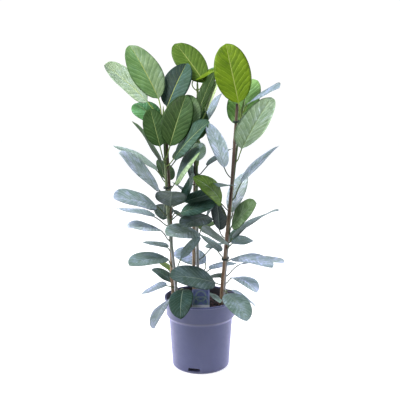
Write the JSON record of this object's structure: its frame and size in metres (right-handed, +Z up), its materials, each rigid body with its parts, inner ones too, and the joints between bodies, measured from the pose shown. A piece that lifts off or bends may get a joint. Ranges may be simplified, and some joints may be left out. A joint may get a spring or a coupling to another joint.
{
  "type": "potted ficus",
  "caption": "Live foliage plant with large oval leathery leaves on cane-supported shoots, rooted in a round tapered grower's pot with a plant label.",
  "frame": {"origin": "centre of the pot's flat base, on the surface it stands on", "axes": "+Z up along the pot's axis and the shoots, -Y towards the front with the plant label, +X to the right seen from the front"},
  "size_m": [0.5014, 0.3326, 0.9284],
  "materials": {
    "pot_plastic": "smooth moulded lavender-grey plastic with a soft sheen",
    "potting_soil": "rough moist peat with bits of bark",
    "label_plastic": "printed plastic tag",
    "bamboo": "dry bamboo cane, satin",
    "stem_bark": "grey-green woody bark, green towards the tip",
    "tie_plastic": "soft dark plastic strap",
    "young_leaf": "bright young leaf, waxy",
    "green_leaf": "deep green leaf, waxy",
    "matured_leaf": "older leaf with a bluish waxy bloom"
  },
  "bodies": {
    "root": {"pot": "pot_plastic", "soil": "potting_soil", "plant_label": "label_plastic", "cane_left": "bamboo", "stem_left": "stem_bark", "tie_left": "tie_plastic", "cane_middle": "bamboo", "stem_middle": "stem_bark", "tie_middle": "tie_plastic", "cane_right": "bamboo", "stem_right": "stem_bark", "tie_right_1": "tie_plastic", "tie_right_2": "tie_plastic", "leaf_left_21": "young_leaf", "leaf_left_20": "young_leaf", "leaf_right_17": "young_leaf", "leaf_middle_09": "young_leaf", "leaf_left_19": "young_leaf", "leaf_right_16": "young_leaf", "leaf_left_18": "young_leaf", "leaf_right_15": "green_leaf", "leaf_middle_08": "green_leaf", "leaf_middle_07": "green_leaf", "leaf_middle_06": "green_leaf", "leaf_left_17": "green_leaf", "leaf_left_16": "green_leaf", "leaf_left_15": "green_leaf", "leaf_right_14": "green_leaf", "leaf_left_14": "matured_leaf", "leaf_left_13": "matured_leaf", "leaf_middle_05": "matured_leaf", "leaf_right_13": "matured_leaf", "leaf_left_12": "matured_leaf", "leaf_left_11": "matured_leaf", "leaf_right_12": "matured_leaf", "leaf_left_10": "matured_leaf", "leaf_left_09": "matured_leaf", "leaf_middle_04": "matured_leaf", "leaf_left_08": "matured_leaf", "leaf_right_11": "matured_leaf", "leaf_right_10": "matured_leaf", "leaf_left_07": "matured_leaf", "leaf_middle_03": "matured_leaf", "leaf_right_09": "matured_leaf", "leaf_left_06": "matured_leaf", "leaf_right_08": "matured_leaf", "leaf_right_07": "matured_leaf", "leaf_right_06": "matured_leaf", "leaf_middle_02": "matured_leaf", "leaf_right_05": "matured_leaf", "leaf_left_05": "matured_leaf", "leaf_right_04": "matured_leaf", "leaf_left_04": "matured_leaf", "leaf_middle_01": "matured_leaf", "leaf_right_02": "matured_leaf", "leaf_right_03": "matured_leaf", "leaf_left_03": "matured_leaf", "leaf_right_01": "matured_leaf", "leaf_left_02": "matured_leaf", "leaf_left_01": "matured_leaf"}
  },
  "joints": []
}
